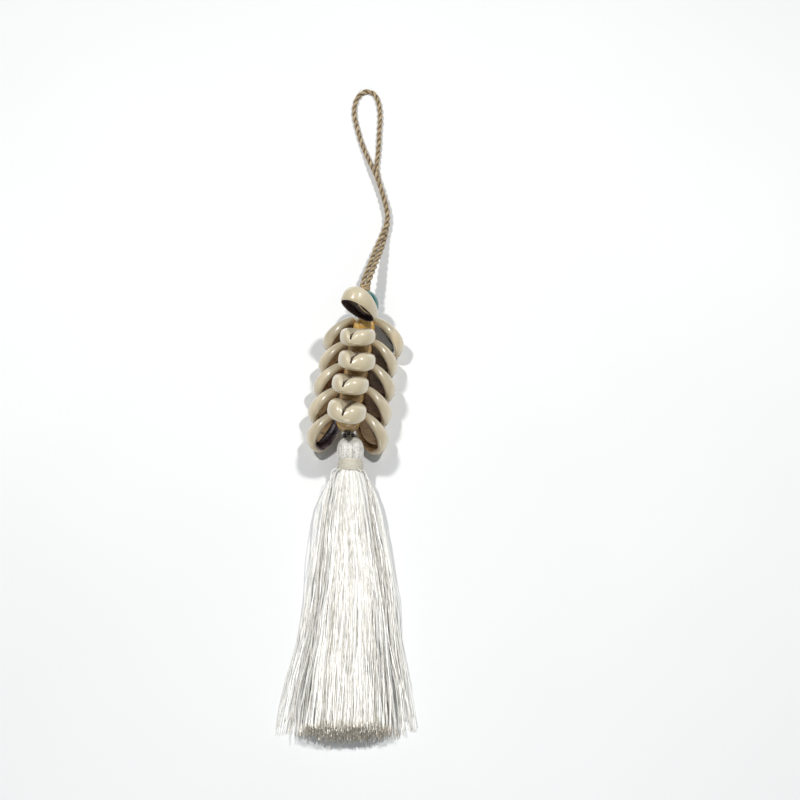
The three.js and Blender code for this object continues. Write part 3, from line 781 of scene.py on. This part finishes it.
# thread through the beads: three plies twisted together
coreThread = {"plies": 3, "ply": 0.21, "offset": 0.23, "lay": 2.4, "step": 0.3, "sides": 6}
coreLine, coreAt = splineThrough(threadStops, coreThread["step"])
_, coreAcross, coreUp = carriedFrames(coreLine)
corePlies = []
for ply in range(coreThread["plies"]):
    turn = 2 * math.pi * (coreAt / coreThread["lay"] + ply / coreThread["plies"])
    spine = twistedPly(coreLine, coreAcross, coreUp, coreThread["offset"], turn)
    corePlies.append(tubeRings(spine, coreThread["ply"], coreThread["sides"]))
corePiece = joinTubes("core_thread_fine", corePlies, [0.4, 0.6, 0.8])
smoothShade(corePiece, 60)
dress(corePiece, "core_thread_fine", creamThread, "cream_thread", "core_thread")

# tassel head: threads folded over a dome and drawn in at the neck
head = {"top": (0.2, 26.4, 12.2), "fall": 14, "threads": 150, "radius": 0.21}
headProfile = [
    (0.1, 0.6), (2.0, 0.5), (3.8, -0.3), (4.9, -1.9), (5.25, -3.8), (5.3, -5.6), (5.1, -7.6), (4.7, -9.0),
    (4.4, -11), (4.3, -13.4),
]
ringAngles = 2 * math.pi * np.arange(32) / 32
alongHead = np.array(Matrix.Translation(head["top"]) @ Matrix.Rotation(math.radians(head["fall"]), 4, "X"))


def placeAlongHead(points):
    return points @ alongHead[:3, :3].T + alongHead[:3, 3]


def roundRings(profile):
    rings = np.array([[(r * math.cos(a), at, r * math.sin(a)) for a in ringAngles] for r, at in profile])
    return placeAlongHead(rings.reshape(-1, 3)).reshape(rings.shape)


domeLine, _ = splineThrough([(r, at, 0) for r, at in headProfile], 1.1)
strands, strandShades = [], []
for i in range(head["threads"]):
    angle = 2 * math.pi * (i + dice.uniform(-0.3, 0.3)) / head["threads"]
    sway = dice.uniform(-0.12, 0.12)
    lift = dice.uniform(-0.12, 0.1)
    turn = angle + sway * np.linspace(0, 1, len(domeLine)) ** 2
    reach = domeLine[:, 0] + lift
    line = np.stack([reach * np.cos(turn), domeLine[:, 1], reach * np.sin(turn)], axis=1)
    strands.append(tubeRings(placeAlongHead(line), head["radius"], 4))
    strandShades.append(dice.uniform(0.2, 0.95))
strands.append(roundRings([(max(r - 0.3, 0.05), at - 0.1) for r, at in headProfile]))
strandShades.append(0.8)
headPiece = joinTubes("tassel_head", strands, strandShades)
smoothShade(headPiece, 60)

# skirt: its edges and height at stations, much higher than the solids' towards the cut end
skirtStations = [
    {"y": 16.0, "left": -4.4, "right": 4.2, "low": 4.6, "high": 13.9},
    {"y": 13.4, "left": -5.0, "right": 4.8, "low": 3.9, "high": 13.9},
    {"y": 11.9, "left": -5.8, "right": 5.6, "low": 3.2, "high": 13.8},
    {"y": 10.0, "left": -7.2, "right": 6.9, "low": 2.6, "high": 13.4},
    {"y": 5.5, "left": -9.6, "right": 9.5, "low": 2.0, "high": 12.0},
    {"y": 0.5, "left": -11.2, "right": 10.9, "low": 1.5, "high": 10.8},
    {"y": -19.3, "left": -13.4, "right": 14.6, "low": 0.5, "high": 9.0},
    {"y": -40.2, "left": -15.1, "right": 17.6, "low": 0, "high": 9.6},
    {"y": -59.3, "left": -17.4, "right": 19.1, "low": 0, "high": 10.2},
    {"y": -73.1, "left": -20.4, "right": 21.4, "low": 0, "high": 10.9},
    {"y": -102, "left": -24.6, "right": 24.8, "low": 0, "high": 11.8},
]
skirt = {
    "threads": 1750, "radius": 0.2, "tip": 0.8, "sides": 3, "root": 15.5, "core": 0.8, "longest": -97.8,
    "shortest": -93.5, "curve": 5.0, "strays": 66, "close": 0.8, "fan": 0.26, "domed": 0.45,
    "flatFrom": -8, "flatOver": 45, "lowest": 0.01,
}
ripple = {"size": 0.22, "long": 4.3, "riseLong": 7.7}
# where each thread's rings lie, closer together at the cut end
threadShare = np.concatenate([np.linspace(0, 0.93, 13) ** 1.1, [0.965, 0.985, 1]])


def skirtEdge(y, key):
    rows = sorted(skirtStations, key=lambda row: row["y"])
    return np.interp(y, [row["y"] for row in rows], [row[key] for row in rows])


def gathered(y, close):
    return np.interp(y, (skirt["longest"], -8, 6, 14), (close, 1, 1, 1.2))


def skirtPlace(across, level, y, radius):
    left, right = skirtEdge(y, "left"), skirtEdge(y, "right")
    low, high = skirtEdge(y, "low"), skirtEdge(y, "high")
    dome = np.sqrt(np.clip(1 - (across * 0.97) ** 2, 0.02, 1))
    roundZ = (low + high) / 2 + (high - low) / 2 * dome * (2 * level - 1)
    settled = radius + level * (high * dome ** 0.6 - 2 * radius)
    flat = np.clip((skirt["flatFrom"] - y) / skirt["flatOver"], 0, 1)
    x = (left + right) / 2 + (right - left) / 2 * across
    return x, roundZ + (np.maximum(settled, radius) - roundZ) * flat


def skirtThread(across, level, endY, wave, bulge=0.0, close=1.0):
    y = skirt["root"] + (endY - skirt["root"]) * threadShare
    down = np.clip((12 - y) / 22, 0, 1)
    drift = wave["drift"] * np.clip((14 - y) / 60, 0, 1)
    share = across * gathered(y, close) + drift * (1 - abs(across))
    x, z = skirtPlace(np.clip(share, -1.15, 1.15), level, y, skirt["radius"])
    x = x + down * (wave["size"] * np.sin(y / wave["long"] + wave["start"])
                    + ripple["size"] * np.sin(y / ripple["long"] + 3 * wave["start"]))
    x = x + np.sign(across) * bulge * np.clip(-y / 90, 0, 1) ** 1.5
    z = z + down * wave["rise"] * np.sin(y / ripple["riseLong"] + 5 * wave["start"])
    radius = skirt["radius"] * np.concatenate([[1] * (len(y) - 1), [skirt["tip"]]])
    angles = 2 * math.pi * np.arange(skirt["sides"]) / skirt["sides"] + wave["start"]
    line = np.stack([x, y, np.maximum(z, skirt["radius"])], axis=1)
    offset = np.stack([np.cos(angles), np.zeros(skirt["sides"]), np.sin(angles)], axis=1)
    rings = line[:, None] + radius[:, None, None] * offset[None]
    rings[..., 2] = np.maximum(rings[..., 2], skirt["lowest"])
    return rings[:, ::-1]


skirtRings, skirtShades, skirtEndShade = [], [], []
for i in range(skirt["threads"]):
    level = dice.random() ** 0.7
    across = skirt["core"] * dice.uniform(-1, 1) * (1 - skirt["domed"] * level ** 2)
    endY = skirt["longest"] + (skirt["shortest"] - skirt["longest"]) * level + dice.gauss(0, 0.8)
    endY += skirt["curve"] * across ** 2
    wave = {"size": dice.uniform(0.15, 0.9), "long": dice.uniform(6, 17), "start": dice.uniform(0, 6.28),
            "drift": dice.gauss(0, 0.2), "rise": 0.25 * level}
    close = skirt["close"] + dice.uniform(0, skirt["fan"]) * (1 - level) ** 2
    skirtRings.append(skirtThread(across, level, endY, wave, close=close))
    skirtShades.append(dice.uniform(0.05, 1))
    # core threads lower in the skirt get a longer stretch of painted shade at their cut ends
    skirtEndShade.append(5.2 - 4.0 * level)
# strays beyond both edges
for i in range(skirt["strays"]):
    side = -1 if i % 2 else 1
    wave = {"size": dice.uniform(0.3, 1.2), "long": dice.uniform(9, 22), "start": dice.uniform(0, 6.28),
            "drift": 0, "rise": 0}
    endY = skirt["longest"] + skirt["curve"] + dice.uniform(-2.5, 6)
    across, level, bulge = side * dice.uniform(0.66, 1.12), dice.uniform(0, 0.4), dice.uniform(0, 2.2)
    skirtRings.append(skirtThread(across, level, endY, wave, bulge))
    skirtShades.append(dice.uniform(0.2, 1))
    skirtEndShade.append(1.2)
# a bed of packed threads fills the middle, so that no gap shows through
bed = {
    "from": 15.4, "to": -89, "steps": 40, "half": 0.74, "across": 15, "foot": 0.12, "thin": 0.05,
    "between": (-10, 8), "slope": (1, 0.1), "level": (0.76, 0.86),
}
bedSide = np.linspace(-bed["half"], bed["half"], bed["across"])
bedRings = []
for y in np.linspace(bed["from"], bed["to"], bed["steps"]):
    side = bedSide * gathered(y, skirt["close"])
    along = np.full(side.shape, y)
    slope = np.sqrt(1 - (bedSide / skirt["core"]) ** 2) ** np.interp(y, bed["between"], bed["slope"])
    x, z = skirtPlace(side, np.interp(y, bed["between"], bed["level"]) * slope, along, skirt["radius"])
    under = skirtPlace(side, bed["foot"], along, skirt["radius"])[1]
    top = np.stack([x, along, z], axis=1)
    bottom = np.stack([x, along, np.minimum(under, z - bed["thin"])], axis=1)[::-1]
    bedRings.append(np.vstack([top, bottom]))
skirtRings.append(np.array(bedRings))
skirtShades.append(0.8)
skirtEndShade.append(1)
skirtPiece = joinTubes("tassel_skirt", skirtRings, skirtShades, endShadeLengths=skirtEndShade)
smoothShade(skirtPiece, 60)

# loose threads that bow out just below the binding
looseThread = {"radius": 0.18, "step": 0.7, "sides": 4, "shade": 0.9}
looseRoutes = [
    [(-4.3, 13.6, 9.6), (-6.0, 14.2, 9.9), (-7.3, 13.4, 9.6), (-7.9, 10.6, 9.0), (-8.2, 6.0, 7.4),
     (-9.6, -1.0, 5.0)],
    [(-4.5, 13.4, 8.4), (-6.4, 12.9, 8.6), (-7.6, 10.8, 8.0), (-8.0, 7.4, 7.0), (-9.0, 1.0, 5.0)],
    [(-3.6, 13.3, 12.2), (-5.2, 12.2, 12.3), (-6.4, 9.4, 11.2), (-7.0, 4.0, 9.6), (-8.2, -4.0, 7.4)],
    [(4.0, 13.4, 11.0), (6.0, 12.4, 11.0), (7.6, 9.0, 10.0), (8.8, 3.0, 8.4), (9.6, -5.0, 6.6)],
    [(3.0, 13.4, 12.8), (4.8, 11.4, 12.8), (6.4, 7.0, 11.6), (7.4, 0.0, 9.8), (8.6, -9.0, 8.0)],
    [(1.0, 13.3, 13.4), (2.4, 11.0, 13.5), (3.6, 6.0, 12.2), (4.4, -2.0, 10.2), (5.6, -12.0, 8.8)],
]
loose = []
for route in looseRoutes:
    line = splineThrough(route, looseThread["step"])[0]
    loose.append(tubeRings(line, looseThread["radius"], looseThread["sides"]))
loosePiece = joinTubes("tassel_loose_threads", loose, [looseThread["shade"]] * len(loose))
smoothShade(loosePiece, 60)

clearSelection()
dress(headPiece, "tassel_head", headThread, "white_thread", "tassel")
dress(skirtPiece, "tassel_skirt", whiteThread, "white_thread", "tassel")
dress(loosePiece, "tassel_loose_threads", whiteThread, "white_thread")

# neck binding: thread wound close round the neck, a few turns riding over the rest
wrap = {"radius": 5.1, "thread": 0.22, "sides": 6, "per": 40}
wrapRuns = [
    {"lift": 0, "from": -9.1, "to": -13.6, "turns": 12.5, "start": 0.4},
    {"lift": 0.16, "from": -10.2, "to": -12.9, "turns": 4.5, "start": 2.2},
]
wrapped = []
for run in wrapRuns:
    radius = wrap["radius"] + run["lift"]
    line = woundLine(radius, run["from"], run["to"], run["turns"], run["start"], wrap["per"])
    wrapped.append(tubeRings(placeAlongHead(line), wrap["thread"], wrap["sides"]))
wrapped.append(roundRings([(4.6, -9.0), (5.05, -9.2), (5.05, -13.5), (4.0, -13.8)]))
# painted shade: the solid under the turns is darkest (0.3) so the gaps between turns read dark; the turns
# riding over are lightest
wrapPiece = joinTubes("neck_wrap_thread", wrapped, [0.7, 0.9, 0.3])
smoothShade(wrapPiece, 60)
dress(wrapPiece, "neck_wrap_thread", creamThread, "cream_thread", "neck_wrap")
print("threads:", len(skirtRings) + len(strands) + len(loose))


# floor and lights: two small overhead lights, left and right, beyond the loop, and a low one in front
floorFinish = Finish("paleFloor", Roughness=0.75)
floorTone = floorFinish.noise(floorFinish.objectPlace(), 6, 2)
floorFinish.color(floorFinish.ramp(floorTone, [(0.3, (0.86, 0.87, 0.88)), (0.7, (0.89, 0.9, 0.91))]))
clearSelection()
bpy.ops.mesh.primitive_plane_add(size=6, location=(0, 0, 0))
floor = bpy.context.object
floor.name = "floor"
floor.data.materials.append(floorFinish.material)

lamps = {
    "power": 3.95, "size": 0.055, "color": (1.0, 0.98, 0.95), "aim": (0.0, 0.05, 0.0),
    "places": [(-0.34, 0.24, 0.76), (0.34, 0.26, 0.76)],
}
front = {"power": 0.85, "size": 0.3, "place": (0.02, -0.5, 0.17), "aim": (0.0, 0.06, 0.01)}
room = {"color": (0.7, 0.87, 1.0, 1), "strength": 0.125}


def addLight(place, row):
    clearSelection()
    way = Vector(row["aim"]) - Vector(place)
    bpy.ops.object.light_add(type="AREA", location=place, rotation=way.to_track_quat("-Z", "Y").to_euler())
    light = bpy.context.object.data
    light.size, light.energy = row["size"], row["power"]
    return light


for place in lamps["places"]:
    lamp = addLight(place, lamps)
    lamp.shape, lamp.color = "DISK", lamps["color"]
addLight(front["place"], front)
world = bpy.data.worlds.new("softRoom")
world.use_nodes = True
world.node_tree.nodes["Background"].inputs["Color"].default_value = room["color"]
world.node_tree.nodes["Background"].inputs["Strength"].default_value = room["strength"]
bpy.context.scene.world = world
bpy.context.scene.view_settings.view_transform = "Standard"
